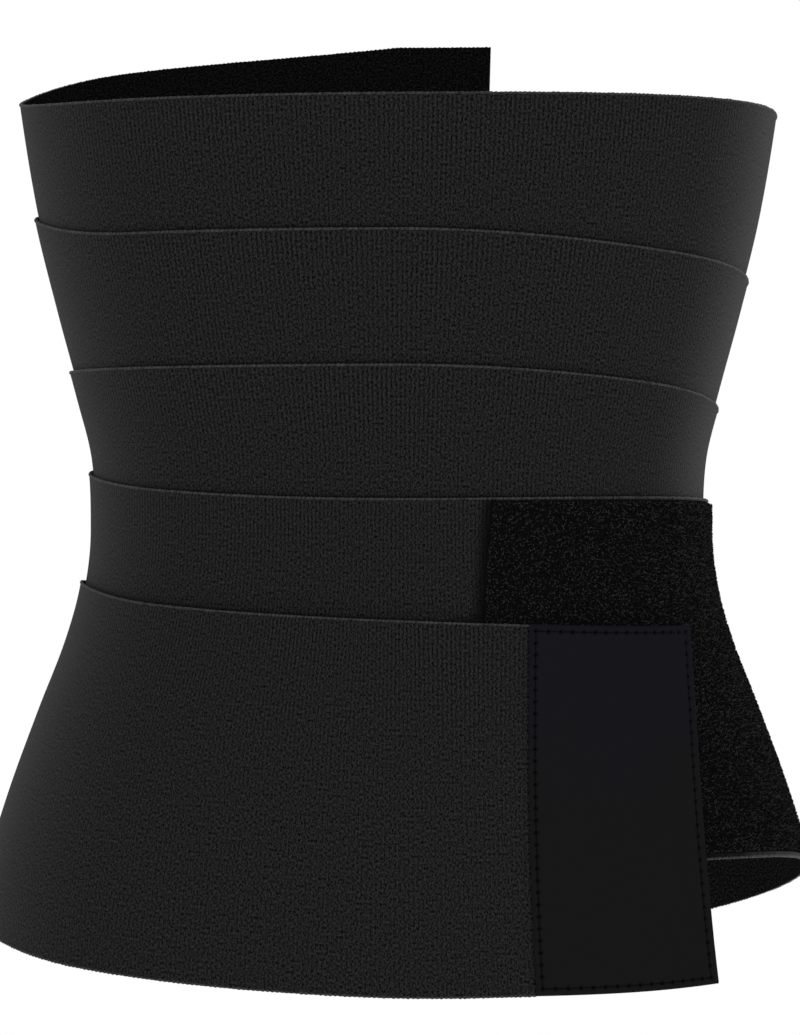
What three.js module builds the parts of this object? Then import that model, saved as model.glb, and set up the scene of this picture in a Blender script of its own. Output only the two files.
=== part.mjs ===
// A waist trimmer belt: one long knitted elastic band wound round a waist from the ribs down to the
// hips, each turn lapping over the one above. Its last turn ends in a plain sewn panel, which a
// strip of hook tape holds on a loop pad sewn to the outside of the turn below.
//
// Millimetres and degrees. The origin is the middle of the waist, +Z is up the body, -Y is the
// front and +X is the side the panel fastens on. Angles are wound from +X round the back, so the
// back is 90, the left side 180, the front 270 and the right side 360, and every turn adds 360.
import * as THREE from "three";

// The band
const BAND_WIDTH = 125;
const BAND_THICKNESS = 1.0;
const BAND_START = 76.3;
const BAND_END = 1736.5;

// One turn rests on the last: the rise of the band for each turn, and the extra rise that takes
// the end of the band up over the loop pad
const TURN_RISE = 1.5;
const PAD_RISE = 2.3;
const PAD_RISE_FROM = 1600;
const PAD_RISE_TO = 1712;

// The loop pad, on the outside of the fourth turn
const PAD_THICKNESS = 1.9;
const PAD_START = 1365.7;
const PAD_END = 1494;
const PAD_LEAN = 6.5;
const PAD_TOP_INSET = 0.006;
const PAD_LOW_INSET = 0.014;

// The end panel, which stands past the upper edge of the band, and the hook tape behind it
const PANEL_THICKNESS = 1.2;
const PANEL_START = 1730.6;
const PANEL_END = 1765;
const PANEL_OVERLAP = 0.005;
const HOOK_END = 1763.8;
const HOOK_INSET = 0.03;
const HOOK_SPACE = 0.4;

// The free end keeps its straight sides on the flaring hip: it turns about one angle, and half way
// down its far end is drawn back by another
const FAN_CENTRE = 1712.5;
const FAN_BOW = 2;

// Space left between pieces that lie on each other
const GAP = 0.3;

// How far the round of the body is squared, as a share of its half width
const SQUARING = 0.018;

// Mesh sizes
const STEP = 7.5;
const FINE_STEP = 5;
const WIDTH_CELLS = 9;
const TRACE_CELLS = 40;

// The body the band is wound on, from the ribs to the hips
const FORM = [
  { height: 175, halfWidth: 137.0, halfDepth: 98.5, setBack: -1.0 },
  { height: 134, halfWidth: 132.1, halfDepth: 96.0, setBack: -2.0 },
  { height: 96, halfWidth: 125.7, halfDepth: 92.0, setBack: -2.0 },
  { height: 62, halfWidth: 117.4, halfDepth: 86.5, setBack: -1.0 },
  { height: 32, halfWidth: 109.3, halfDepth: 81.0, setBack: -0.5 },
  { height: 10, halfWidth: 104.0, halfDepth: 77.5, setBack: 0.0 },
  { height: -14, halfWidth: 103.0, halfDepth: 77.0, setBack: 0.3 },
  { height: -34, halfWidth: 105.0, halfDepth: 78.5, setBack: 0.5 },
  { height: -54, halfWidth: 110.6, halfDepth: 82.0, setBack: 1.3 },
  { height: -78, halfWidth: 120.0, halfDepth: 87.0, setBack: 2.2 },
  { height: -110, halfWidth: 131.6, halfDepth: 93.5, setBack: 3.2 },
  { height: -140, halfWidth: 140.0, halfDepth: 97.5, setBack: 4.5 },
  { height: -185, halfWidth: 144.4, halfDepth: 100.0, setBack: 5.0 },
];

// Height of the band's upper edge at eight places round each of its five turns, from the back on
const TURNS = ["turn1", "turn2", "turn3", "turn4", "turn5"];
const UPPER_EDGE = [
  { place: "back", angle: 90, turn1: 165.7, turn2: 112.0, turn3: 55.0, turn4: 14.0, turn5: -38.0 },
  { place: "back left", angle: 135, turn1: 153.7, turn2: 105.0, turn3: 48.0, turn4: 10.0, turn5: -36.0 },
  { place: "left", angle: 180, turn1: 136.8, turn2: 96.0, turn3: 41.5, turn4: 6.0, turn5: -32.5 },
  { place: "front left", angle: 225, turn1: 132.2, turn2: 87.2, turn3: 41.6, turn4: -0.6, turn5: -39.6 },
  { place: "front", angle: 270, turn1: 132.7, turn2: 87.5, turn3: 41.9, turn4: -3.5, turn5: -44.8 },
  { place: "front right", angle: 315, turn1: 133.6, turn2: 81.2, turn3: 36.7, turn4: -2.9, turn5: -47.4 },
  { place: "right", angle: 360, turn1: 131.5, turn2: 72.5, turn3: 27.5, turn4: -4.2, turn5: -47.5 },
  { place: "back right", angle: 405, turn1: 120.0, turn2: 62.0, turn3: 20.0, turn4: -33.0, turn5: -47.5 },
];

// How much wider or narrower the knit is drawn: the sewn pad keeps it from drawing in, and the sewn
// panel draws it in
const SPREAD = [
  { angle: 0, extra: 0 },
  { angle: 1330, extra: 0 },
  { angle: 1395, extra: 2 },
  { angle: 1425, extra: 5.7 },
  { angle: 1447, extra: 11.9 },
  { angle: 1480, extra: 3.2 },
  { angle: 1560, extra: 0 },
  { angle: 1620, extra: -0.4 },
  { angle: 1665, extra: 1.5 },
  { angle: 1708, extra: 1.7 },
  { angle: 1732, extra: 0 },
  { angle: 1766, extra: -0.8 },
  { angle: 1800, extra: -0.8 },
];

// A smooth curve through rows of a table that never overshoots them: its slope at a row is at most
// this many times the flatter of the slopes beside it
const STEEPEST = 3;
function curveThrough(rows, across, up) {
  const sorted = [...rows].sort((one, other) => one[across] - other[across]);
  const xs = sorted.map((row) => row[across]);
  const ys = sorted.map((row) => row[up]);
  const last = xs.length - 1;
  const slopes = xs.slice(1).map((x, i) => (ys[i + 1] - ys[i]) / (x - xs[i]));
  const tangents = xs.map((x, i) => {
    if (i === 0) return slopes[0];
    if (i === last) return slopes[last - 1];
    const before = slopes[i - 1];
    const after = slopes[i];
    if (before * after <= 0) return 0;
    const slope = (ys[i + 1] - ys[i - 1]) / (xs[i + 1] - xs[i - 1]);
    const steepest = STEEPEST * Math.min(Math.abs(before), Math.abs(after));
    return Math.sign(slope) * Math.min(Math.abs(slope), steepest);
  });
  return (x) => {
    let i = 0;
    while (i < last - 1 && x > xs[i + 1]) i += 1;
    const span = xs[i + 1] - xs[i];
    const t = THREE.MathUtils.clamp((x - xs[i]) / span, 0, 1);
    const t2 = t * t;
    const t3 = t2 * t;
    const rise = 3 * t2 - 2 * t3;
    const swing = (t3 - 2 * t2 + t) * tangents[i] + (t3 - t2) * tangents[i + 1];
    return ys[i] + (ys[i + 1] - ys[i]) * rise + span * swing;
  };
}

const edgeRows = TURNS.flatMap((turn, i) =>
  UPPER_EDGE.map((row) => ({ angle: row.angle + 360 * i, height: row[turn] })),
);
const upperEdge = curveThrough(edgeRows, "angle", "height");
const spread = curveThrough(SPREAD, "angle", "extra");
const halfWidth = curveThrough(FORM, "height", "halfWidth");
const halfDepth = curveThrough(FORM, "height", "halfDepth");
const setBack = curveThrough(FORM, "height", "setBack");

// How far the inside of the band stands off the body at an angle
function liftAt(angle) {
  const overPad = THREE.MathUtils.smoothstep(angle, PAD_RISE_FROM, PAD_RISE_TO);
  return (TURN_RISE * (angle - BAND_START)) / 360 + PAD_RISE * overPad;
}

// A point on the body, lifted off it
function onBody(angle, height, lift) {
  const round = THREE.MathUtils.degToRad(angle);
  const wide = (halfWidth(height) + lift) / (1 - SQUARING);
  const deep = (halfDepth(height) + lift) / (1 - SQUARING);
  return new THREE.Vector3(
    wide * (Math.cos(round) - SQUARING * Math.cos(3 * round)),
    setBack(height) + deep * (Math.sin(round) + SQUARING * Math.sin(3 * round)),
    height,
  );
}

// The angle reached lower down by a straight line across the free end
function fanned(angle, top, height, lift) {
  if (angle <= FAN_CENTRE) return angle;
  const narrowing = (halfWidth(top) + lift) / (halfWidth(height) + lift);
  const down = THREE.MathUtils.clamp((top - height) / BAND_WIDTH, 0, 1);
  const drawnBack = (4 * FAN_BOW * down * (1 - down)) / (PANEL_END - FAN_CENTRE);
  return FAN_CENTRE + (angle - FAN_CENTRE) * (narrowing - drawnBack);
}

// The line across the band at an angle, from its upper edge to its lower edge, in equal lengths
function traceAcross(angle) {
  const lift = liftAt(angle);
  const top = upperEdge(angle);
  const step = (BAND_WIDTH + spread(angle)) / TRACE_CELLS;
  const line = [];
  let height = top;
  for (let i = 0; i <= TRACE_CELLS; i += 1) {
    const here = fanned(angle, top, height, lift);
    line.push({ angle: here, height });
    const below = fanned(angle, top, height - step, lift);
    const length = onBody(here, height, lift).distanceTo(onBody(below, height - step, lift));
    height -= (step * step) / length;
  }
  return line;
}

// A point on the band: its angle, its share of the width from the upper edge, and its lift
function onBand(angle, share, lift) {
  const line = traceAcross(angle);
  const along = share * TRACE_CELLS;
  const i = THREE.MathUtils.clamp(Math.floor(along), 0, TRACE_CELLS - 1);
  const t = along - i;
  const turned = THREE.MathUtils.lerp(line[i].angle, line[i + 1].angle, t);
  const height = THREE.MathUtils.lerp(line[i].height, line[i + 1].height, t);
  return onBody(turned, height, liftAt(angle) + lift);
}

// Angles from start to end: the ends themselves and every whole step between
function stations(start, end, step) {
  const angles = [start];
  for (let angle = (Math.floor(start / step) + 1) * step; angle < end; angle += step) {
    if (angle - angles[angles.length - 1] > step / 4 && end - angle > step / 4) angles.push(angle);
  }
  angles.push(end);
  return angles;
}

// A closed sheet that lies on the band: a grid on its inner face, the same grid on its outer face
// and a wall round the edge
function sheet(angles, shares, angleAt, inner, outer) {
  const rows = angles.length;
  const columns = shares.length;
  const positions = [];
  for (const lift of [inner, outer]) {
    for (const angle of angles) {
      for (const share of shares) {
        positions.push(...onBand(angleAt(angle, share), share, lift).toArray());
      }
    }
  }
  const at = (face, i, j) => face * rows * columns + i * columns + j;
  const faces = [];
  const quad = (a, b, c, d) => faces.push(a, b, c, a, c, d);
  for (let i = 0; i < rows - 1; i += 1) {
    for (let j = 0; j < columns - 1; j += 1) {
      quad(at(0, i, j), at(0, i + 1, j), at(0, i + 1, j + 1), at(0, i, j + 1));
      quad(at(1, i, j), at(1, i, j + 1), at(1, i + 1, j + 1), at(1, i + 1, j));
    }
  }
  for (let i = 0; i < rows - 1; i += 1) {
    const low = columns - 1;
    quad(at(0, i, 0), at(1, i, 0), at(1, i + 1, 0), at(0, i + 1, 0));
    quad(at(0, i, low), at(0, i + 1, low), at(1, i + 1, low), at(1, i, low));
  }
  for (let j = 0; j < columns - 1; j += 1) {
    const end = rows - 1;
    quad(at(0, 0, j), at(0, 0, j + 1), at(1, 0, j + 1), at(1, 0, j));
    quad(at(0, end, j), at(1, end, j), at(1, end, j + 1), at(0, end, j + 1));
  }
  const geometry = new THREE.BufferGeometry();
  geometry.setAttribute("position", new THREE.Float32BufferAttribute(positions, 3));
  geometry.setIndex(faces);
  geometry.computeVertexNormals();
  return geometry;
}

// Shares of the width between an inset from the upper edge and one from the lower edge
function widthShares(top, low, cells) {
  return Array.from({ length: cells + 1 }, (_, i) => top + ((1 - top - low) * i) / cells);
}

function piece(name, geometry, color, roughness) {
  const material = new THREE.MeshStandardMaterial({ color, roughness, metalness: 0 });
  const mesh = new THREE.Mesh(geometry, material);
  mesh.name = name;
  return mesh;
}

const straight = (angle) => angle;

// The pad's near end leans with the flare of the hip: its lower corner reaches further forward
function leaning(angle, share) {
  const left = (PAD_END - angle) / (PAD_END - PAD_START);
  return angle - PAD_LEAN * share * left;
}

const belt = new THREE.Group();
belt.name = "waist_trimmer_belt";

// The wound band, knitted elastic
belt.add(
  piece(
    "elastic_band",
    sheet(
      stations(BAND_START, BAND_END, STEP),
      widthShares(0, 0, WIDTH_CELLS),
      straight,
      0,
      BAND_THICKNESS,
    ),
    "#1f1f1f",
    0.9,
  ),
);

// The loop pad, brushed nylon
const padInner = BAND_THICKNESS + GAP;
belt.add(
  piece(
    "loop_pad",
    sheet(
      stations(PAD_START, PAD_END, FINE_STEP),
      widthShares(PAD_TOP_INSET, PAD_LOW_INSET, WIDTH_CELLS),
      leaning,
      padInner,
      padInner + PAD_THICKNESS,
    ),
    "#101010",
    1.0,
  ),
);

// The hook tape, which carries on where the band stops
belt.add(
  piece(
    "hook_tape",
    sheet(
      stations(BAND_END + HOOK_SPACE, HOOK_END, FINE_STEP),
      widthShares(HOOK_INSET, HOOK_INSET, WIDTH_CELLS),
      straight,
      0,
      BAND_THICKNESS,
    ),
    "#121212",
    0.7,
  ),
);

// The end panel, a smooth woven cover over the end of the band and the hook tape
const panelInner = BAND_THICKNESS + GAP;
belt.add(
  piece(
    "end_panel",
    sheet(
      stations(PANEL_START, PANEL_END, FINE_STEP),
      widthShares(-PANEL_OVERLAP, 0, WIDTH_CELLS),
      straight,
      panelInner,
      panelInner + PANEL_THICKNESS,
    ),
    "#17181b",
    0.6,
  ),
);

export default belt;
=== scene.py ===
"""A waist trimmer belt: a long knitted elastic band wound from ribs to hips, with a loop pad on its
outside and a stitched end panel that hook tape holds on the pad."""

import math

import bmesh
import bpy
import numpy as np
from bpy.props import FloatProperty, FloatVectorProperty, IntProperty, PointerProperty
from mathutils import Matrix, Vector


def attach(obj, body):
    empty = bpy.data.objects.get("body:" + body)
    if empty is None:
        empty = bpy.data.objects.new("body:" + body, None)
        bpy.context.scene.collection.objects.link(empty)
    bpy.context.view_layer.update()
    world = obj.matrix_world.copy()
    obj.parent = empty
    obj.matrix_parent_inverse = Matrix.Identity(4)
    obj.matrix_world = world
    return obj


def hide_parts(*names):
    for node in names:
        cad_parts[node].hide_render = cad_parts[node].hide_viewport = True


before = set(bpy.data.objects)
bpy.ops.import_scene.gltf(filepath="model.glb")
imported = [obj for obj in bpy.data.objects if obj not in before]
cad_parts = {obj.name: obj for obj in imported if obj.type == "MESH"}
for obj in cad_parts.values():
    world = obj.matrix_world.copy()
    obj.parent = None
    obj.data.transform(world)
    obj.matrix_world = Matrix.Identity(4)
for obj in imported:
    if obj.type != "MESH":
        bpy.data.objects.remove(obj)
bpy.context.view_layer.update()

bl_info = {
    "name": "Waist trimmer belt",
    "version": (1, 0, 0),
    "blender": (4, 5, 0),
    "location": "3D View > Sidebar > Belt",
    "description": "Dresses a wound elastic waist belt with its knit, pile, stitches and stage",
    "category": "Object",
}

MM = 0.001

# The winding, in millimetres and degrees. Angles run from +X round the back: the back is 90, the left
# side 180, the front 270, the right side 360, and every turn adds 360.
BAND_WIDTH = 125.0
BAND_THICKNESS = 1.0
BAND_START = 76.3
BAND_END = 1736.5

# How far the band rises off the body with each turn, and how far and where it rises onto the pad
TURN_RISE = 1.5
PAD_RISE = 2.3
PAD_RISE_FROM = 1600.0
PAD_RISE_TO = 1712.0

# The loop pad: its near end leans by an angle, and its edges lie in from the band's by shares of the width
PAD_THICKNESS = 1.9
PAD_START = 1365.7
PAD_END = 1494.0
PAD_LEAN = 6.5
PAD_TOP_INSET = 0.006
PAD_LOW_INSET = 0.014

# The end panel, which reaches past the band's upper edge by a share of the width
PANEL_THICKNESS = 1.2
PANEL_START = 1730.6
PANEL_END = 1765.0
PANEL_OVERLAP = 0.005

# The hook tape, whose edges lie in from the band's by a share of the width
HOOK_START = 1736.9
HOOK_END = 1763.8
HOOK_INSET = 0.03

# The free end fans out past an angle, and lines across it bow back by some degrees
FAN_CENTRE = 1712.5
FAN_BOW = 2.0

# The panel's seam draws in both edges of the band's last end, by a share of the width, over an angle
END_INSET = 0.01
END_INSET_RUN = 1.5

# Space between the band and the panel; between the band and the pad there is half of it
GAP = 0.3

# How far the body's oval is squared
SQUARING = 0.018

# Steps that trace the width of the band down the body
TRACE_CELLS = 40

# Limit of a curve's slope at a row of its table, against the slopes on both sides
STEEPEST = 3.0

# Points closer than this are one, in metres
WELD = 1e-7

# Painted shade: a dark line painted on the band above the edge of the turn that laps over it, where that
# turn's shadow falls, and a painted shadow before the pad's near end: how far it is darkest, how far it
# reaches, and the share of the cloth's own tone where it is darkest
LAP_DARK = 0.3
LAP_SHADE = 1.3
LAP_TONE = 0.25

# The UV map that holds each sheet's flat cloth
FLAT_MAP = "flat_cloth"

# A wave texture's bands repeat every 2 pi / 20 of its own units
WAVE_UNIT = 2 * math.pi / 20

# Clouds in the cloth's tone, about this far across, in millimetres
CLOUD = 30

# How a stitch's radius tapers between its needle holes, and the sides of its tube
THREAD_TAPER = np.array([0.6, 0.95, 1.0, 0.95, 0.6])
THREAD_SIDES = 6

# The body the band is wound on: height, half width, half depth, set back
FORM = np.array(
    [
        (-185, 144.4, 100.0, 5.0),
        (-140, 140.0, 97.5, 4.5),
        (-110, 131.6, 93.5, 3.2),
        (-78, 120.0, 87.0, 2.2),
        (-54, 110.6, 82.0, 1.3),
        (-34, 105.0, 78.5, 0.5),
        (-14, 103.0, 77.0, 0.3),
        (10, 104.0, 77.5, 0.0),
        (32, 109.3, 81.0, -0.5),
        (62, 117.4, 86.5, -1.0),
        (96, 125.7, 92.0, -2.0),
        (134, 132.1, 96.0, -2.0),
        (175, 137.0, 98.5, -1.0),
    ]
)

# Height of the band's upper edge, a row for each turn: back, back left, left, front left, front,
# front right, right, back right
FIRST_PLACE = 90.0
PLACE_STEP = 45.0
UPPER_EDGE = np.array(
    [
        (165.7, 153.7, 136.8, 132.2, 132.7, 133.6, 131.5, 120.0),
        (112.0, 105.0, 96.0, 87.2, 87.5, 81.2, 72.5, 62.0),
        (55.0, 48.0, 41.5, 41.6, 41.9, 36.7, 27.5, 20.0),
        (14.0, 10.0, 6.0, -0.6, -3.5, -2.9, -4.2, -33.0),
        (-38.0, -36.0, -32.5, -39.6, -44.8, -47.4, -47.5, -47.5),
    ]
)

# How much wider, or narrower, the sewn pad and the sewn panel draw the knit: angle, extra width
SPREAD = np.array(
    [
        (0, 0),
        (1330, 0),
        (1395, 2),
        (1425, 5.7),
        (1447, 11.9),
        (1480, 3.2),
        (1560, 0),
        (1620, -0.4),
        (1665, 1.5),
        (1708, 1.7),
        (1732, 0),
        (1766, -0.8),
        (1800, -0.8),
    ]
)


def hex_colour(code):
    """An sRGB hex value as linear red, green and blue."""
    shares = [int(code[i : i + 2], 16) / 255 for i in (0, 2, 4)]
    return tuple(c / 12.92 if c <= 0.04045 else ((c + 0.055) / 1.055) ** 2.4 for c in shares)


def curve_through(xs, ys):
    """A smooth curve through the rows of a table that never overshoots them."""
    xs = np.asarray(xs, float)
    ys = np.asarray(ys, float)
    slopes = np.diff(ys) / np.diff(xs)
    tangents = np.empty_like(ys)
    tangents[0], tangents[-1] = slopes[0], slopes[-1]
    before, after = slopes[:-1], slopes[1:]
    middle = (ys[2:] - ys[:-2]) / (xs[2:] - xs[:-2])
    limit = STEEPEST * np.minimum(abs(before), abs(after))
    tangents[1:-1] = np.where(before * after > 0, np.clip(middle, -limit, limit), 0.0)

    def value(x):
        x = np.asarray(x, float)
        i = np.clip(np.searchsorted(xs, x) - 1, 0, len(xs) - 2)
        span = xs[i + 1] - xs[i]
        t = np.clip((x - xs[i]) / span, 0.0, 1.0)
        rise = t * t * (3 - 2 * t)
        swing = t * (1 - t) ** 2 * tangents[i] - t * t * (1 - t) * tangents[i + 1]
        return ys[i] + (ys[i + 1] - ys[i]) * rise + span * swing

    return value


half_width = curve_through(FORM[:, 0], FORM[:, 1])
half_depth = curve_through(FORM[:, 0], FORM[:, 2])
set_back = curve_through(FORM[:, 0], FORM[:, 3])
upper_edge = curve_through(FIRST_PLACE + PLACE_STEP * np.arange(UPPER_EDGE.size), UPPER_EDGE.ravel())
spread = curve_through(SPREAD[:, 0], SPREAD[:, 1])


def smoothstep(x, low, high):
    """Zero below low, one above high, and a smooth rise between."""
    t = np.clip((np.asarray(x, float) - low) / (high - low), 0.0, 1.0)
    return t * t * (3 - 2 * t)


def bell(distance, spread):
    """One at no distance, falling smoothly to zero over a spread in millimetres."""
    return np.exp(-((distance / (spread * MM)) ** 2))


def round_over(distance, radius):
    """The share of its height that a rounded edge has reached at a distance from it."""
    near = np.clip(distance / radius, 0.0, 1.0)
    return np.sqrt(1 - (1 - near) ** 2)


def lift_at(angle):
    """How far the inside of the band stands off the body, in millimetres."""
    turns = (angle - BAND_START) / 360
    return TURN_RISE * turns + PAD_RISE * smoothstep(angle, PAD_RISE_FROM, PAD_RISE_TO)


def on_body(angle, height, lift):
    """Points on the body, lifted off it, in millimetres."""
    turn = np.radians(angle)
    wide = (half_width(height) + lift) / (1 - SQUARING)
    deep = (half_depth(height) + lift) / (1 - SQUARING)
    x = wide * (np.cos(turn) - SQUARING * np.cos(3 * turn))
    y = set_back(height) + deep * (np.sin(turn) + SQUARING * np.sin(3 * turn))
    return np.stack([x, y, height], axis=-1)


def fanned(angle, top, height, lift):
    """The angle that a straight line across the free end has reached lower down."""
    narrowing = (half_width(top) + lift) / (half_width(height) + lift)
    down = np.clip((top - height) / BAND_WIDTH, 0.0, 1.0)
    drawn_back = 4 * FAN_BOW * down * (1 - down) / (PANEL_END - FAN_CENTRE)
    past = np.maximum(angle - FAN_CENTRE, 0.0)
    return angle - past * (1 - narrowing + drawn_back)


def on_band(angle, share, lift):
    """Points on the band in metres: an angle, a share of the width from the upper edge, and a lift."""
    angle = np.asarray(angle, float)
    share = np.asarray(share, float)
    base = lift_at(angle)
    top = upper_edge(angle)
    step = (BAND_WIDTH + spread(angle)) / TRACE_CELLS
    along = share * TRACE_CELLS
    cell = np.clip(np.floor(along), 0, TRACE_CELLS - 1)
    part = along - cell
    height = top
    turned = fanned(angle, top, height, base)
    found_angle = np.zeros_like(angle)
    found_height = np.zeros_like(angle)
    for i in range(TRACE_CELLS):
        below = fanned(angle, top, height - step, base)
        trial = on_body(below, height - step, base) - on_body(turned, height, base)
        next_height = height - step * step / np.linalg.norm(trial, axis=-1)
        next_turned = fanned(angle, top, next_height, base)
        here = cell == i
        found_height = np.where(here, height + (next_height - height) * part, found_height)
        found_angle = np.where(here, turned + (next_turned - turned) * part, found_angle)
        height, turned = next_height, next_turned
    return on_body(found_angle, found_height, base + lift) * MM


def surface_frame(surface, s, t):
    """Points of a surface with its unit directions along, down and out."""
    step = 1e-3
    point = surface(s, t)
    along = surface(s + step, t) - surface(s - step, t)
    down = surface(s, t + step) - surface(s, t - step)
    along /= np.linalg.norm(along, axis=-1, keepdims=True)
    out = np.cross(down, along)
    out /= np.linalg.norm(out, axis=-1, keepdims=True)
    return point, along, np.cross(along, out), out


def band_angle(s):
    """The angle at a share of the band's length."""
    return BAND_START + s * (BAND_END - BAND_START)


def band_surface(lift):
    """The band as a surface of shares along and across; the panel's seam draws its last end in."""

    def surface(s, t):
        angle = band_angle(s)
        inset = END_INSET * smoothstep(angle, PANEL_START, PANEL_START + END_INSET_RUN)
        return on_band(angle, inset + (1 - 2 * inset) * t, lift)

    return surface


def pad_surface(lift):
    """The loop pad as a surface of shares along and across; its near end leans with the hip."""

    def surface(s, t):
        share = PAD_TOP_INSET + (1 - PAD_TOP_INSET - PAD_LOW_INSET) * t
        angle = PAD_START + s * (PAD_END - PAD_START) - PAD_LEAN * share * (1 - s)
        return on_band(angle, share, lift(s, t) if callable(lift) else lift)

    return surface


def panel_surface(lift):
    """The end panel as a surface of shares along and across."""

    def surface(s, t):
        angle = PANEL_START + s * (PANEL_END - PANEL_START)
        share = t - PANEL_OVERLAP * (1 - t)
        return on_band(angle, share, lift(s, t) if callable(lift) else lift)

    return surface


def hook_surface(lift):
    """The hook tape as a surface of shares along and across."""

    def surface(s, t):
        angle = HOOK_START + s * (HOOK_END - HOOK_START)
        return on_band(angle, HOOK_INSET + (1 - 2 * HOOK_INSET) * t, lift)

    return surface


def middle_length(surface, cells=1600):
    """Shares along a surface, and the length of its middle line up to each, in metres."""
    s = np.linspace(0.0, 1.0, cells)
    line = surface(s, np.full_like(s, 0.5))
    lengths = np.concatenate([[0.0], np.cumsum(np.linalg.norm(np.diff(line, axis=0), axis=1))])
    return s, lengths


def link(name, mesh, materials):
    """A new object in the scene, at the origin, that rides on the belt."""
    obj = bpy.data.objects.new(name, mesh)
    bpy.context.scene.collection.objects.link(obj)
    for material in materials:
        mesh.materials.append(material)
    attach(obj, "root")
    return obj


def laid_grid(name, surface, cells, flat, materials, wall):
    """A sheet with a wall: a grid laid on a surface, with a UV map in metres of flat cloth. Also the
    shares along and across of its points."""
    bm = bmesh.new()
    bmesh.ops.create_grid(bm, x_segments=cells[0], y_segments=cells[1], size=0.5)
    flat_co = np.array([v.co for v in bm.verts])
    s = flat_co[:, 0] + 0.5
    t = 0.5 - flat_co[:, 1]
    for vert, co in zip(bm.verts, surface(s, t)):
        vert.co = co
    for edge in bm.edges:
        edge.smooth = not edge.is_boundary
    for face in bm.faces:
        face.smooth = True
    mesh = bpy.data.meshes.new(name)
    bm.to_mesh(mesh)
    bm.free()
    along, lengths = flat
    corner = np.empty(len(mesh.loops), dtype=np.int32)
    mesh.loops.foreach_get("vertex_index", corner)
    u = np.interp(s, along, lengths)[corner]
    v = (t * BAND_WIDTH * MM)[corner]
    mesh.uv_layers.new(name=FLAT_MAP).data.foreach_set("uv", np.column_stack([u, v]).ravel())
    obj = link(name, mesh, materials)
    solid = obj.modifiers.new("wall", "SOLIDIFY")
    solid.thickness = wall * MM
    solid.offset = -1.0
    solid.use_even_offset = False
    solid.material_offset = len(materials) - 1
    return obj, s, t


def store(obj, name, values):
    """Stores a value at each point of an object's mesh, for its material."""
    obj.data.attributes.new(name, "FLOAT", "POINT").data.foreach_set("value", values)


def from_arrays(name, points, faces, materials):
    """A joined mesh of many small like shapes."""
    mesh = bpy.data.meshes.new(name)
    mesh.from_pydata(points.reshape(-1, 3), [], faces)
    mesh.update()
    mesh.shade_smooth()
    return link(name, mesh, materials)


def ribbons(name, paths, sides, materials):
    """Many narrow ribbons in one mesh: paths of points, each with a sideways step."""
    count, rings = paths.shape[:2]
    points = np.stack([paths - sides, paths + sides], axis=2)
    start = np.arange(count)[:, None] * rings * 2 + np.arange(rings - 1)[None, :] * 2
    start = start.ravel()
    faces = np.stack([start, start + 1, start + 3, start + 2], axis=1)
    return from_arrays(name, points, faces.tolist(), materials)


def threads(name, paths, up, sizes, colours):
    """Many short stitches in one mesh: closed tubes along paths of points, each with its way up."""
    paths, up = np.concatenate(paths), np.concatenate(up)
    count, rings = paths.shape[:2]
    across = np.cross(up, paths[:, -1] - paths[:, 0])
    across /= np.linalg.norm(across, axis=1, keepdims=True)
    turn = 2 * np.pi * np.arange(THREAD_SIDES) / THREAD_SIDES
    ring = np.cos(turn)[:, None] * across[:, None, None, :] + np.sin(turn)[:, None] * up[:, None, None, :]
    radius = sizes.thread_radius * THREAD_TAPER
    points = paths[:, :, None, :] + radius[None, :, None, None] * ring
    base = np.arange(count)[:, None, None] * rings * THREAD_SIDES
    here = base + np.arange(rings - 1)[None, :, None] * THREAD_SIDES + np.arange(THREAD_SIDES)
    after = np.roll(here, -1, axis=2)
    walls = np.stack([here, after, after + THREAD_SIDES, here + THREAD_SIDES], axis=-1).reshape(-1, 4)
    first = here[:, 0, ::-1]
    last = here[:, -1] + THREAD_SIDES
    faces = walls.tolist() + first.tolist() + last.tolist()
    return from_arrays(name, points, faces, [sewing_thread(colours)])


def add_node(tree, kind, inputs=None, **settings):
    """A node with its settings, its input values and the links to its inputs."""
    made = tree.nodes.new(kind)
    for name, value in settings.items():
        setattr(made, name, value)
    for name, value in (inputs or {}).items():
        if isinstance(value, bpy.types.NodeSocket):
            tree.links.new(value, made.inputs[name])
        else:
            made.inputs[name].default_value = value
    return made


def new_material(name):
    """An empty node material and its tree."""
    material = bpy.data.materials.new(name)
    material.use_nodes = True
    material.node_tree.nodes.clear()
    return material, material.node_tree


def finished(material, inputs):
    """The material, ended in a principled shader with these inputs."""
    tree = material.node_tree
    shader = add_node(tree, "ShaderNodeBsdfPrincipled", inputs)
    add_node(tree, "ShaderNodeOutputMaterial", {"Surface": shader.outputs["BSDF"]})
    return material


def flat_cloth(tree):
    """Places on the flat cloth, in metres along it and down from its upper edge."""
    return add_node(tree, "ShaderNodeUVMap", uv_map=FLAT_MAP).outputs["UV"]


def object_place(tree):
    """Places in the object, in metres."""
    return add_node(tree, "ShaderNodeTexCoord").outputs["Object"]


def stored(tree, name):
    """A value that the mesh stores at each of its points."""
    return add_node(tree, "ShaderNodeAttribute", attribute_name=name).outputs["Fac"]


def noise(tree, vector, lump, roughness, detail=2.0):
    """Noise with lumps of about a size, in the vector's own units."""
    return add_node(
        tree,
        "ShaderNodeTexNoise",
        {"Vector": vector, "Scale": 1 / lump, "Detail": detail, "Roughness": roughness},
    ).outputs["Fac"]


def stripes(tree, vector, pitch, direction, unevenness):
    """Soft stripes at a pitch in metres, made uneven by more inputs of the wave."""
    return add_node(
        tree,
        "ShaderNodeTexWave",
        {"Vector": vector, "Scale": WAVE_UNIT / pitch, **unevenness},
        bands_direction=direction,
    ).outputs["Fac"]


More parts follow.
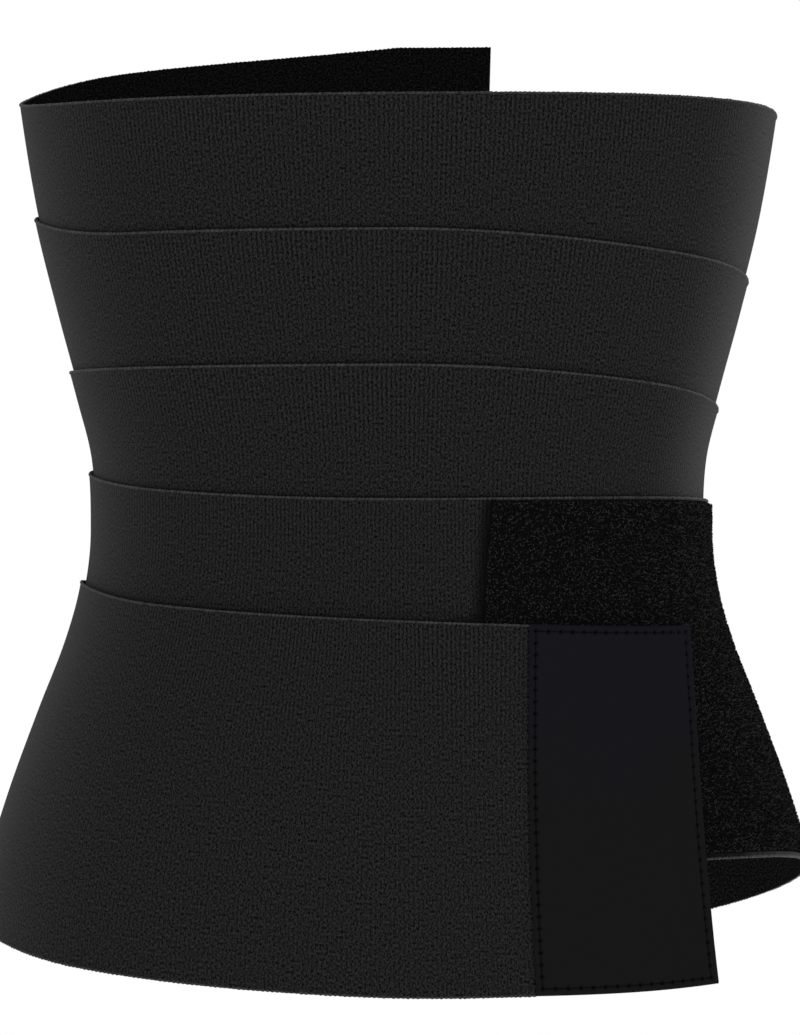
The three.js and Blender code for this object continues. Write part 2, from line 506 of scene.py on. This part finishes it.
def remap(tree, value, start, stop, low=0.0, high=1.0):
    """A value that goes from low to high while another goes from start to stop."""
    return add_node(
        tree,
        "ShaderNodeMapRange",
        {"Value": value, "From Min": start, "From Max": stop, "To Min": low, "To Max": high},
    ).outputs["Result"]


def between(tree, value, low, high, span=(0.0, 1.0)):
    """A colour that goes from low to high while a value crosses a span."""
    ramp = add_node(tree, "ShaderNodeValToRGB", {"Fac": value})
    for stop, place, colour in zip(ramp.color_ramp.elements, span, (low, high)):
        stop.position = place
        stop.color = (*colour, 1)
    return ramp.outputs["Color"]


def blend(tree, share, first, second):
    """A share of the second colour mixed into the first."""
    # Sockets 6 and 7 of a colour mix are its two colours, and its output 2 is their mix
    mix = add_node(tree, "ShaderNodeMix", {0: share, 6: first, 7: second}, data_type="RGBA")
    return mix.outputs[2]


def relief(tree, height, strength, depth):
    """A normal bent by a height, with a depth in millimetres."""
    return add_node(
        tree, "ShaderNodeBump", {"Height": height, "Strength": strength, "Distance": depth * MM}
    ).outputs["Normal"]


def clouded_depth(tree, flat, roughness, reach):
    """Distance down from the cloth's upper edge, plus up to a reach in millimetres where clouds are."""
    cloud = noise(tree, flat, CLOUD * MM, roughness)
    down = add_node(tree, "ShaderNodeSeparateXYZ", {"Vector": flat}).outputs["Y"]
    return add_node(
        tree, "ShaderNodeMath", {0: cloud, 1: reach * MM, 2: down}, operation="MULTIPLY_ADD"
    ).outputs["Value"]


def knitted_elastic(colours, sizes):
    """Black knitted elastic: a grain of small stitches, with ribs across the band that are clearest
    below its upper edge; a painted shade line where the next turn laps over it, and a painted shadow
    before the pad's near end."""
    material, tree = new_material("black_knitted_elastic")
    flat = flat_cloth(tree)
    stitch = add_node(
        tree,
        "ShaderNodeMapping",
        {"Vector": flat, "Scale": (1 / sizes.stitch_width, 1 / sizes.stitch_height, 1)},
    ).outputs["Vector"]
    grain = noise(tree, stitch, 1.0, 0.7)
    uneven = {"Distortion": 1.5, "Detail": 2.0, "Detail Scale": 2.0}
    ribs = stripes(tree, flat, sizes.rib_pitch, "X", uneven)
    # The clouds make the ribs reach further down the band in some places than in others
    depth = clouded_depth(tree, flat, 0.6, 120)
    rib_share = remap(tree, depth, 50 * MM, 110 * MM, 0.12, 0.04)
    knit = add_node(
        tree, "ShaderNodeMix", {"Factor": rib_share, "A": grain, "B": ribs}, data_type="FLOAT"
    ).outputs["Result"]
    # The valleys of the knit are darker than its crests, partly the yarn's own tone and partly painted
    # shade of the knit's relief
    tone = between(tree, knit, colours.knit_valley, colours.knit, (0.39, 0.62))
    # Painted shade: the knit darkens to its valley colour above a lapping edge and before the pad's near
    # end
    clear = remap(tree, stored(tree, "painted_shade_distance"), LAP_DARK * MM, LAP_SHADE * MM, LAP_TONE, 1.0)
    return finished(
        material,
        {
            "Base Color": blend(tree, clear, (*colours.knit_valley, 1), tone),
            "Roughness": 0.9,
            "Specular IOR Level": 0.0,
            "Sheen Weight": 0.07,
            "Sheen Roughness": 0.5,
            "Normal": relief(tree, knit, 0.3, 0.3),
        },
    )


def inner_face(colours):
    """The inside of the band: a plain close knit, flatter than the outside, with specks of brushed fibre;
    its colours are darker than the outside's, partly its own and partly painted shade of the belt's
    hollow."""
    material, tree = new_material("elastic_inner_face")
    specks = noise(tree, flat_cloth(tree), 0.8 * MM, 0.7)
    return finished(
        material,
        {
            "Base Color": between(tree, specks, colours.inside_low, colours.inside, (0.43, 0.69)),
            "Roughness": 0.9,
            "Specular IOR Level": 0.0,
            "Normal": relief(tree, specks, 0.5, 0.3),
        },
    )


def selvage_yarn(colours):
    """The edge yarn of the knit, turned round the edge, in a colour paler than the knit's; every few
    stitches it dips back into the knit."""
    material, tree = new_material("selvage_yarn")
    dips = noise(tree, object_place(tree), 1.1 * MM, 0.6, detail=1.0)
    return finished(
        material,
        {
            "Base Color": between(tree, dips, colours.knit, colours.selvage, (0.38, 0.56)),
            "Roughness": 0.8,
            "Specular IOR Level": 0.0,
            "Sheen Weight": 0.07,
            "Sheen Roughness": 0.5,
        },
    )


def loop_nylon(colours):
    """Brushed nylon loops: fine black filament, matt, each loop a little paler or darker."""
    material, tree = new_material("loop_nylon")
    return finished(
        material,
        {
            "Base Color": between(tree, stored(tree, "loop_tone"), colours.pile_low, colours.pile),
            "Roughness": 0.6,
            "Specular IOR Level": 0.0,
        },
    )


def pad_backing(colours):
    """The woven nylon ground under the loops, almost hidden, dark and matt."""
    material, tree = new_material("pad_backing")
    lumps = noise(tree, flat_cloth(tree), 1.2 * MM, 0.6)
    return finished(
        material,
        {
            "Base Color": between(tree, lumps, colours.pile_ground, colours.pile_low, (0.3, 0.8)),
            "Roughness": 0.95,
            "Specular IOR Level": 0.0,
            "Normal": relief(tree, lumps, 0.8, 0.5),
        },
    )


def panel_cover(colours, sizes):
    """Smooth close-woven polyester over a stiff core: a black that is cool towards the top and neutral
    lower down, with painted shade where the stitching draws it in, along the seam and in the needle holes."""
    material, tree = new_material("woven_panel_cover")
    flat = flat_cloth(tree)
    weave = stripes(tree, flat, sizes.weave_pitch, "DIAGONAL", {"Distortion": 1.0, "Detail": 1.0})
    # The clouds move the change from cool to neutral up and down by a few centimetres
    lower = remap(tree, clouded_depth(tree, flat, 0.5, 80), 70 * MM, 110 * MM)
    tone = between(tree, lower, colours.panel, colours.panel_low)
    return finished(
        material,
        {
            # Painted shade: the cover darkens towards the thread's colour in the seam's groove and the
            # needle holes
            "Base Color": blend(tree, stored(tree, "painted_seam_shade"), tone, (*colours.thread, 1)),
            "Roughness": 0.65,
            "Specular IOR Level": 0.0,
            "Normal": relief(tree, weave, 0.15, 0.1),
        },
    )


def sewing_thread(colours):
    """Black polyester sewing thread, twisted, with a slight gloss; one spool sews the whole belt."""
    spool = bpy.data.materials.get("sewing_thread")
    if spool:
        return spool
    material, tree = new_material("sewing_thread")
    twist = stripes(tree, object_place(tree), 0.4 * MM, "DIAGONAL", {"Distortion": 1.0})
    return finished(
        material,
        {
            "Base Color": (*colours.thread, 1),
            "Roughness": 0.55,
            "Specular IOR Level": 0.03,
            "Normal": relief(tree, twist, 0.4, 0.1),
        },
    )


def hook_nylon(colours):
    """Moulded nylon hook tape: even black with a soft gloss."""
    material, tree = new_material("moulded_hook_nylon")
    grain = noise(tree, object_place(tree), 1.0 * MM, 0.5)
    return finished(
        material,
        {
            "Base Color": (*colours.hook, 1),
            "Roughness": 0.5,
            "Specular IOR Level": 0.25,
            "IOR": 1.53,
            "Normal": relief(tree, grain, 0.3, 0.2),
        },
    )


def studio_floor(colours):
    """A pale matt studio floor."""
    material, _ = new_material("studio_floor")
    return finished(material, {"Base Color": (*colours.floor, 1), "Roughness": 0.9})


def length_property(name, description, millimetres):
    """A length that a user may change, with its default in millimetres."""
    return FloatProperty(
        name=name, description=description, default=millimetres * MM, unit="LENGTH", precision=5
    )


class BeltSizes(bpy.types.PropertyGroup):
    """Sizes of the belt's fine detail."""

    rib_pitch: length_property("Rib pitch", "Distance between the ribs of the knit, along the band", 1.5)
    stitch_width: length_property("Knit stitch width", "Width of a knit stitch, along the band", 0.52)
    stitch_height: length_property("Knit stitch height", "Height of a knit stitch, across the band", 0.95)
    selvage_radius: length_property("Selvage radius", "Radius of the yarn round the band's edges", 0.5)
    pile_count: IntProperty(
        name="Loops", description="How many loops stand on the pad", default=32000, min=100
    )
    pile_height: length_property("Loop height", "How far the loops stand off the pad's ground", 1.0)
    loop_width: length_property("Loop filament", "Width of one loop's filament", 0.32)
    stitch_pitch: length_property("Stitch pitch", "Length of one stitch round the end panel", 4.0)
    stitch_inset: length_property("Stitch inset", "From the stitching to the panel's top and bottom", 2.4)
    near_inset: length_property("Near stitch inset", "From the stitching to the edge on the band", 1.8)
    far_inset: length_property("Far stitch inset", "From the stitching to the panel's free edge", 3.4)
    thread_radius: length_property("Thread radius", "Radius of the sewing thread", 0.16)
    weave_pitch: length_property("Panel weave", "Distance between the threads of the panel's cover", 0.6)


def colour_property(name, description, code):
    """A colour that a user may change, with its default as an sRGB hex value."""
    return FloatVectorProperty(
        name=name, description=description, subtype="COLOR", size=3, min=0, max=1, default=hex_colour(code)
    )


class BeltColours(bpy.types.PropertyGroup):
    """Colours of the belt's cloth, thread and stage."""

    knit: colour_property("Knit", "Crests of the knit", "2A2A2A")
    # The knit's valleys are darker, partly its own tone and partly painted shade of its relief
    knit_valley: colour_property("Knit valleys", "Between the crests of the knit", "050505")
    # The inside's colours are darkened partly as painted shade of the belt's hollow
    inside: colour_property("Inside", "Specks on the inside of the band", "1C1C1C")
    inside_low: colour_property("Inside, low", "Ground of the inside of the band", "050505")
    selvage: colour_property("Selvage", "Edge yarn of the band", "3B3B3B")
    pile: colour_property("Pile", "Paler loops of the pad", "313131")
    pile_low: colour_property("Pile, low", "Darker loops of the pad", "111111")
    pile_ground: colour_property("Pile ground", "Woven ground under the loops", "080808")
    panel: colour_property("Panel", "Upper part of the end panel's cover", "17171B")
    panel_low: colour_property("Panel, lower part", "Lower part of the end panel's cover", "171717")
    thread: colour_property("Thread", "Sewing thread", "050507")
    hook: colour_property("Hook tape", "Nylon of the hook tape", "0E0E0E")
    floor: colour_property("Floor", "Studio floor", "F6F6F4")


class BELT_OT_elastic_band(bpy.types.Operator):
    """Winds the elastic band and sews its selvage and the hem of its first end"""

    bl_idname = "belt.elastic_band"
    bl_label = "Elastic band"

    # Cells of the band's grid, along it and across it
    cells = (920, 36)
    # Where no turn laps over the band, a height far above the painted shade line, in metres
    unlapped = 1.0
    # The pad's thick near end casts a painted shadow on the band over a run before it; points between two
    # distances before that end may be in that painted shadow
    shade_run = 4.0
    shade_from = -4.0
    shade_to = 16.0
    # The edge yarn lies a little out from the middle of the band and in from its edge, and its end is
    # tucked under the panel by an angle
    selvage_out = 0.22
    selvage_in = 0.1
    selvage_tuck = 0.5
    selvage_sides = 6
    # It is thick and thin by turns, as shares of its radius, and uneven
    seed = 3
    bead_thick = 1.15
    bead_thin = 0.7
    bead_range = (0.8, 1.15)
    # The hem: how far its rows lie from the band's end, the stitches in a row, half of each stitch as a
    # share of its pitch, how far the stitches rise and how far their ends lie in the knit
    hem_rows = (2.0, 4.6)
    hem_count = 40
    hem_half = 0.36
    hem_rise = 0.12
    hem_sink = 0.02

    def execute(self, context):
        sizes, colours = context.scene.belt_sizes, context.scene.belt_colours
        outer = band_surface(BAND_THICKNESS)
        flat = middle_length(outer)
        length = flat[1][-1]
        band, s, t = laid_grid(
            "elastic_band_cloth",
            outer,
            self.cells,
            flat,
            [knitted_elastic(colours, sizes), inner_face(colours)],
            BAND_THICKNESS,
        )
        angle = band_angle(s)
        height = np.array([v.co.z for v in band.data.vertices])
        # Painted shade: how far each point lies above the edge of the next turn that laps over it, and
        # before the pad's near end, for the dark line painted there
        lapped = angle + 360 < PANEL_END
        painted_shade_distance = np.where(lapped, height - upper_edge(angle + 360) * MM, self.unlapped)
        to_pad = np.radians(PAD_START - PAD_LEAN * t - angle) * half_width(height / MM) * MM
        beside = (to_pad > self.shade_from * MM) & (to_pad < self.shade_to * MM)
        painted_shade_distance = np.where(beside, np.minimum(painted_shade_distance, LAP_SHADE * to_pad / self.shade_run), painted_shade_distance)
        store(band, "painted_shade_distance", painted_shade_distance)
        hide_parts("elastic_band")
        selvage = self.selvage(sizes, colours, flat)
        hem = self.hem(sizes, colours, length)
        return {"FINISHED"}

    def selvage(self, sizes, colours, flat):
        """Tubes of beaded yarn round both edges of the band."""
        along, lengths = flat
        stop = np.interp(PANEL_START + self.selvage_tuck, band_angle(along), lengths)
        beads = round(stop / sizes.rib_pitch)
        rng = np.random.default_rng(self.seed)
        rings = 2 * beads
        middle = band_surface(BAND_THICKNESS / 2)
        bm = bmesh.new()
        for edge_share in (0.0, 1.0):
            made = bmesh.ops.create_grid(
                bm, x_segments=rings, y_segments=self.selvage_sides, size=0.5
            )
            verts = made["verts"]
            co = np.array([v.co for v in verts])
            run = co[:, 0] + 0.5
            s = np.interp(run * stop, lengths, along)
            turn = 2 * np.pi * (co[:, 1] + 0.5)
            point, _, down, out = surface_frame(middle, s, np.full_like(s, edge_share))
            inward = down if edge_share == 0.0 else -down
            point = point + self.selvage_out * MM * out + self.selvage_in * MM * inward
            ring = np.round(run * rings).astype(int)
            bead = np.where(ring % 2 == 0, self.bead_thick, self.bead_thin)
            bead = bead * rng.uniform(*self.bead_range, rings + 1)[ring]
            radius = (sizes.selvage_radius * bead)[:, None]
            placed = point + radius * (np.cos(turn)[:, None] * out - np.sin(turn)[:, None] * down)
            for vert, place in zip(verts, placed):
                vert.co = place
        bmesh.ops.remove_doubles(bm, verts=bm.verts[:], dist=WELD)
        bmesh.ops.holes_fill(bm, edges=bm.edges[:], sides=0)
        bmesh.ops.recalc_face_normals(bm, faces=bm.faces[:])
        mesh = bpy.data.meshes.new("selvage")
        bm.to_mesh(mesh)
        bm.free()
        mesh.shade_smooth()
        obj = link("selvage", mesh, [selvage_yarn(colours)])
        return obj

    def hem(self, sizes, colours, length):
        """Two rows of stitches across the first end of the band, on both of its faces."""
        paths, up = [], []
        count = self.hem_count
        half = self.hem_half / count
        t = (np.arange(count) + 0.5) / count
        steps = np.linspace(-1, 1, len(THREAD_TAPER))
        rise = self.hem_rise * MM * np.cos(steps * math.pi / 2) - self.hem_sink * MM
        for face, lift in ((1, BAND_THICKNESS), (-1, 0.0)):
            surface = band_surface(lift)
            for row in self.hem_rows:
                s = np.full(count, row * MM / length)
                _, _, _, out = surface_frame(surface, s, t)
                line = np.stack([surface(s, t + half * step) for step in steps], axis=1)
                paths.append(line + face * rise[None, :, None] * out[:, None, :])
                up.append(out)
        obj = threads("start_hem_stitches", paths, up, sizes, colours)
        return obj


class BELT_OT_loop_pad(bpy.types.Operator):
    """Lays the loop pad on the band and raises its pile"""

    bl_idname = "belt.loop_pad"
    bl_label = "Loop pad"

    # Cells of the ground's grid, along it and across it, and the wall of its cloth
    cells = (240, 120)
    wall = 0.3
    # The ground lies a loop's height below the outside of the pad, and its edges are rounded
    ground = PAD_THICKNESS - 1.0
    edge_round = 1.6
    # How far a loop strays from its place, as a share of the space between loops, and the least and
    # greatest shares along and across the pad that it may stand at
    seed = 7
    stray = 0.6
    ends = (0.004, 0.996)
    sides = (0.008, 0.992)
    # Half the width of a loop, its height as a share of the pile's, and its lean to the side and along
    half_range = (0.3, 0.6)
    height_range = (0.5, 1.1)
    lean_side = 0.4
    lean_along = 0.2
    # Where the points of a loop's arch lie, in degrees
    arch = (0, 55, 125, 180)

    def execute(self, context):
        sizes, colours = context.scene.belt_sizes, context.scene.belt_colours
        flat = middle_length(pad_surface(BAND_THICKNESS))
        length = flat[1][-1]
        width = (1 - PAD_TOP_INSET - PAD_LOW_INSET) * BAND_WIDTH * MM

        def lift(s, t):
            from_end = np.minimum(s, 1 - s) * length / MM
            from_side = np.minimum(t, 1 - t) * width / MM
            edge = np.minimum(from_end, from_side)
            return BAND_THICKNESS + GAP / 2 + self.ground * round_over(edge, self.edge_round)

        ground = pad_surface(lift)
        pad, _, _ = laid_grid(
            "loop_pad_ground", ground, self.cells, flat, [pad_backing(colours)], self.wall
        )
        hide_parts("loop_pad")
        pile = self.pile(sizes, colours, ground, length, width)
        return {"FINISHED"}

    def pile(self, sizes, colours, ground, length, width):
        """Loops of filament standing on the pad, each an arch with its own size, turn and lean."""
        rng = np.random.default_rng(self.seed)
        rows = round(math.sqrt(sizes.pile_count * width / length))
        columns = round(sizes.pile_count / rows)
        grid_s, grid_t = np.meshgrid(np.arange(columns) + 0.5, np.arange(rows) + 0.5)
        grid_s = grid_s + rng.uniform(-self.stray, self.stray, grid_s.shape)
        grid_t = grid_t + rng.uniform(-self.stray, self.stray, grid_t.shape)
        s = (grid_s / columns).ravel().clip(*self.ends)
        t = (grid_t / rows).ravel().clip(*self.sides)
        point, along, down, out = surface_frame(ground, s, t)
        count = len(s)
        turn = rng.uniform(0, math.pi, count)[:, None]
        reach = np.cos(turn) * along + np.sin(turn) * down
        side = np.cross(out, reach)
        half = rng.uniform(*self.half_range, count)[:, None] * MM
        tall = rng.uniform(*self.height_range, count)[:, None] * sizes.pile_height
        lean = rng.normal(0, self.lean_side, (count, 1)) * MM * side
        lean = lean + rng.normal(0, self.lean_along, (count, 1)) * MM * reach
        arcs = np.radians(self.arch)
        paths = []
        for arc in arcs:
            up = math.sin(arc)
            paths.append(point + half * math.cos(arc) * reach + tall * up * out + lean * up)
        sides = np.repeat(side[:, None, :], len(arcs), axis=1) * sizes.loop_width / 2
        obj = ribbons("loop_pile", np.stack(paths, axis=1), sides, [loop_nylon(colours)])
        tone = np.repeat(rng.uniform(0, 1, count) ** 2, 2 * len(arcs))
        store(obj, "loop_tone", tone)
        return obj


class BELT_OT_end_panel(bpy.types.Operator):
    """Covers the free end with its panel and stitches it all round"""

    bl_idname = "belt.end_panel"
    bl_label = "End panel"

    # Cells of the cover's grid, along it and across it, and the wall of its cloth
    cells = (130, 240)
    wall = 0.5
    # How far the panel's inside stands off the inside of the band, and its rounded edge
    inner = BAND_THICKNESS + GAP
    edge_round = 0.7
    # How deep and how wide the seam and the needle holes draw the cover in
    seam_depth = 0.28
    seam_spread = 0.55
    hole_depth = 0.3
    hole_spread = 0.45
    # How dark and how wide the painted shade of the seam and the needle holes is
    seam_shade = 0.2
    seam_shade_spread = 0.4
    hole_shade = 1.6
    hole_shade_spread = 0.6
    # Where a stitch starts and ends between its holes, how far it rises and how deep its ends lie
    stitch_run = (0.14, 0.86)
    stitch_rise = 0.16
    stitch_sink = 0.1

    def execute(self, context):
        sizes, colours = context.scene.belt_sizes, context.scene.belt_colours
        flat = middle_length(panel_surface(self.inner + PANEL_THICKNESS))
        length = flat[1][-1]
        width = BAND_WIDTH * MM
        near, far, upper, lower = self.seam_box(sizes, length, width)
        self.along_count = round((far - near) / sizes.stitch_pitch)
        self.across_count = round((lower - upper) / sizes.stitch_pitch)

        def lift(s, t):
            edge, seam, hole = self.distances(s, t, length, width, sizes)
            rounded = PANEL_THICKNESS - self.edge_round * (1 - round_over(edge, self.edge_round * MM))
            drawn = self.seam_depth * bell(seam, self.seam_spread)
            pierced = self.hole_depth * bell(hole, self.hole_spread)
            return self.inner + rounded - drawn - pierced

        cover = panel_surface(lift)
        panel, s, t = laid_grid(
            "end_panel_cover", cover, self.cells, flat, [panel_cover(colours, sizes)], self.wall
        )
        _, seam, hole = self.distances(s, t, length, width, sizes)
        # Painted shade in the seam's groove and the needle holes, stored for the cover's colour
        line = self.seam_shade * bell(seam, self.seam_shade_spread)
        dots = np.clip(self.hole_shade * bell(hole, self.hole_shade_spread), 0.0, 1.0)
        store(panel, "painted_seam_shade", np.maximum(line, dots))
        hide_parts("end_panel")
        stitches = self.stitches(sizes, colours, length, width)
        return {"FINISHED"}

    def seam_box(self, sizes, length, width):
        """The seam's rectangle on the flat panel: near end, far end, upper and lower side, in metres."""
        return sizes.near_inset, length - sizes.far_inset, sizes.stitch_inset, width - sizes.stitch_inset

    def distances(self, s, t, length, width, sizes):
        """Distance to the panel's edge, to its seam and to the nearest needle hole, in metres."""
        x, y = s * length, t * width
        near, far, upper, lower = self.seam_box(sizes, length, width)
        edge = np.minimum(np.minimum(x, length - x), np.minimum(y, width - y))
        seam = abs(np.maximum(np.maximum(near - x, x - far), np.maximum(upper - y, y - lower)))
        pitch_x = (far - near) / self.along_count
        pitch_y = (lower - upper) / self.across_count
        hole_x = near + np.clip(np.round((x - near) / pitch_x), 0, self.along_count) * pitch_x
        hole_y = upper + np.clip(np.round((y - upper) / pitch_y), 0, self.across_count) * pitch_y
        side_x = np.where(x < (near + far) / 2, near, far)
        side_y = np.where(y < (upper + lower) / 2, upper, lower)
        hole = np.minimum(np.hypot(x - hole_x, y - side_y), np.hypot(x - side_x, y - hole_y))
        return edge, seam, hole

    def stitches(self, sizes, colours, length, width):
        """The row of stitches round the panel, each dipping into its needle holes."""
        near, far, upper, lower = self.seam_box(sizes, length, width)
        corners = [(near, upper), (far, upper), (far, lower), (near, lower)]
        counts = [self.along_count, self.across_count, self.along_count, self.across_count]
        surface = panel_surface(self.inner + PANEL_THICKNESS - self.seam_depth)
        steps = np.linspace(*self.stitch_run, len(THREAD_TAPER))
        rise = self.stitch_rise * MM * np.sin(steps * math.pi) - self.stitch_sink * MM
        paths, up = [], []
        for i, count in enumerate(counts):
            start, end = np.array(corners[i]), np.array(corners[(i + 1) % 4])
            share = (np.arange(count)[:, None] + steps[None, :]) / count
            flat = start + share[..., None] * (end - start)
            point, _, _, out = surface_frame(
                surface, flat[..., 0].ravel() / length, flat[..., 1].ravel() / width
            )
            shape = (count, len(steps), 3)
            paths.append(point.reshape(shape) + rise[None, :, None] * out.reshape(shape))
            up.append(out.reshape(shape)[:, len(steps) // 2])
        obj = threads("panel_stitches", paths, up, sizes, colours)
        return obj


class BELT_OT_hook_tape(bpy.types.Operator):
    """Sets the hook tape behind the end panel, with its hooks"""

    bl_idname = "belt.hook_tape"
    bl_label = "Hook tape"

    # Cells of the tape's grid, along it and across it, and its wall
    cells = (40, 60)
    wall = 0.6
    # The hooks: space between them, half of their width, and their outline, along the tape and in from it
    hook_pitch = 1.8
    hook_half = 0.12
    hook_outline = [(0.0, 0.0), (0.0, 0.55), (0.18, 0.8), (0.42, 0.78), (0.5, 0.55)]

    def execute(self, context):
        colours = context.scene.belt_colours
        flat = middle_length(hook_surface(BAND_THICKNESS))
        length = flat[1][-1]
        width = (1 - 2 * HOOK_INSET) * BAND_WIDTH * MM
        nylon = hook_nylon(colours)
        tape, _, _ = laid_grid(
            "hook_tape_strip", hook_surface(BAND_THICKNESS), self.cells, flat, [nylon], self.wall
        )
        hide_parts("hook_tape")
        hooks = self.hooks(length, width, nylon)
        return {"FINISHED"}

    def hooks(self, length, width, nylon):
        """Rows of small hooks on the tape's inner face, bent over at the tip."""
        pitch = self.hook_pitch * MM
        columns, rows = round(length / pitch), round(width / pitch)
        grid_s, grid_t = np.meshgrid((np.arange(columns) + 0.5) / columns, (np.arange(rows) + 0.5) / rows)
        s, t = grid_s.ravel(), grid_t.ravel()
        point, along, down, out = surface_frame(hook_surface(BAND_THICKNESS - self.wall), s, t)
        turned = np.where((np.arange(len(s)) % 2 == 0)[:, None], along, -along)
        paths = np.stack([point + x * MM * turned - y * MM * out for x, y in self.hook_outline], axis=1)
        sides = np.repeat(down[:, None, :], len(self.hook_outline), axis=1) * self.hook_half * MM
        obj = ribbons("hook_tape_hooks", paths, sides, [nylon])
        return obj


class BELT_OT_stage(bpy.types.Operator):
    """Sets the pale floor, the soft studio light and the camera"""

    bl_idname = "belt.stage"
    bl_label = "Stage"

    # Half the floor's width and its height
    floor_half = 1.9
    floor_height = -0.42
    # The sky: the upward share of a direction where it starts and stops to dim, and its strength there
    dimming = (0.105, 0.2)
    strengths = (1.0, 0.75)
    # Soft boxes behind the belt that pale its sides, one in front, and the floor's bounce into the
    # hollow: name, place, width, height, watts
    boxes = [
        ("left_box", (-2.9, 1.96, 0.1), 0.6, 2.2, 48.0),
        ("right_box", (2.56, 2.39, 0.1), 0.6, 2.2, 138.0),
        ("front_box", (0.4, -2.2, 0.35), 2.6, 0.3, 10.0),
        ("floor_bounce", (0.0, 0.0, -0.41), 0.16, 0.1, 1.1),
    ]
    # The camera looks straight at the front; the last number is how far it sees
    camera_place = (0.0007, -1.8, -0.0098)
    sensor_height = 36.0
    focal_length = 176.4
    sight = 50.0

    def execute(self, context):
        scene = context.scene
        colours = scene.belt_colours
        bm = bmesh.new()
        bmesh.ops.create_grid(bm, x_segments=1, y_segments=1, size=self.floor_half)
        bmesh.ops.translate(bm, verts=bm.verts[:], vec=Vector((0, 0, self.floor_height)))
        mesh = bpy.data.meshes.new("studio_floor")
        bm.to_mesh(mesh)
        bm.free()
        mesh.materials.append(studio_floor(colours))
        floor = bpy.data.objects.new("studio_floor", mesh)
        scene.collection.objects.link(floor)

        # White all round at the horizon and below, dimmer overhead
        world = bpy.data.worlds.new("white_studio")
        world.use_nodes = True
        tree = world.node_tree
        direction = add_node(tree, "ShaderNodeTexCoord").outputs["Generated"]
        up = add_node(tree, "ShaderNodeSeparateXYZ", {"Vector": direction}).outputs["Z"]
        strength = remap(tree, up, *self.dimming, *self.strengths)
        backdrop = tree.nodes["Background"]
        backdrop.inputs["Color"].default_value = (1, 1, 1, 1)
        tree.links.new(strength, backdrop.inputs["Strength"])
        scene.world = world

        for name, place, wide, high, watts in self.boxes:
            light = bpy.data.lights.new(name, "AREA")
            light.shape = "RECTANGLE"
            light.size = wide
            light.size_y = high
            light.energy = watts
            lamp = bpy.data.objects.new(name, light)
            lamp.location = place
            lamp.rotation_euler = (-Vector(place)).to_track_quat("-Z", "Y").to_euler()
            lamp.visible_camera = False
            scene.collection.objects.link(lamp)

        lens = bpy.data.cameras.new("camera")
        lens.sensor_fit = "VERTICAL"
        lens.sensor_height = self.sensor_height
        lens.lens = self.focal_length
        lens.clip_end = self.sight
        camera = bpy.data.objects.new("camera", lens)
        camera.location = self.camera_place
        camera.rotation_euler = (math.radians(90), 0, 0)
        scene.collection.objects.link(camera)
        scene.camera = camera
        scene.view_settings.view_transform = "Standard"
        return {"FINISHED"}


class BELT_PT_sidebar(bpy.types.Panel):
    """The belt's sizes, colours and pieces"""

    bl_label = "Waist trimmer belt"
    bl_idname = "BELT_PT_sidebar"
    bl_space_type = "VIEW_3D"
    bl_region_type = "UI"
    bl_category = "Belt"

    def draw(self, context):
        layout = self.layout
        for group in (context.scene.belt_sizes, context.scene.belt_colours):
            box = layout.box()
            for name in group.__annotations__:
                box.prop(group, name)
        for operator in OPERATORS:
            layout.operator(operator.bl_idname)


OPERATORS = (
    BELT_OT_stage,
    BELT_OT_elastic_band,
    BELT_OT_loop_pad,
    BELT_OT_hook_tape,
    BELT_OT_end_panel,
)
CLASSES = (BeltSizes, BeltColours, *OPERATORS, BELT_PT_sidebar)


def register():
    for cls in CLASSES:
        bpy.utils.register_class(cls)
    bpy.types.Scene.belt_sizes = PointerProperty(type=BeltSizes)
    bpy.types.Scene.belt_colours = PointerProperty(type=BeltColours)


def unregister():
    del bpy.types.Scene.belt_colours
    del bpy.types.Scene.belt_sizes
    for cls in reversed(CLASSES):
        bpy.utils.unregister_class(cls)


def main():
    register()
    bpy.ops.belt.stage()
    bpy.ops.belt.elastic_band()
    bpy.ops.belt.loop_pad()
    bpy.ops.belt.hook_tape()
    bpy.ops.belt.end_panel()


if __name__ == "__main__":
    main()
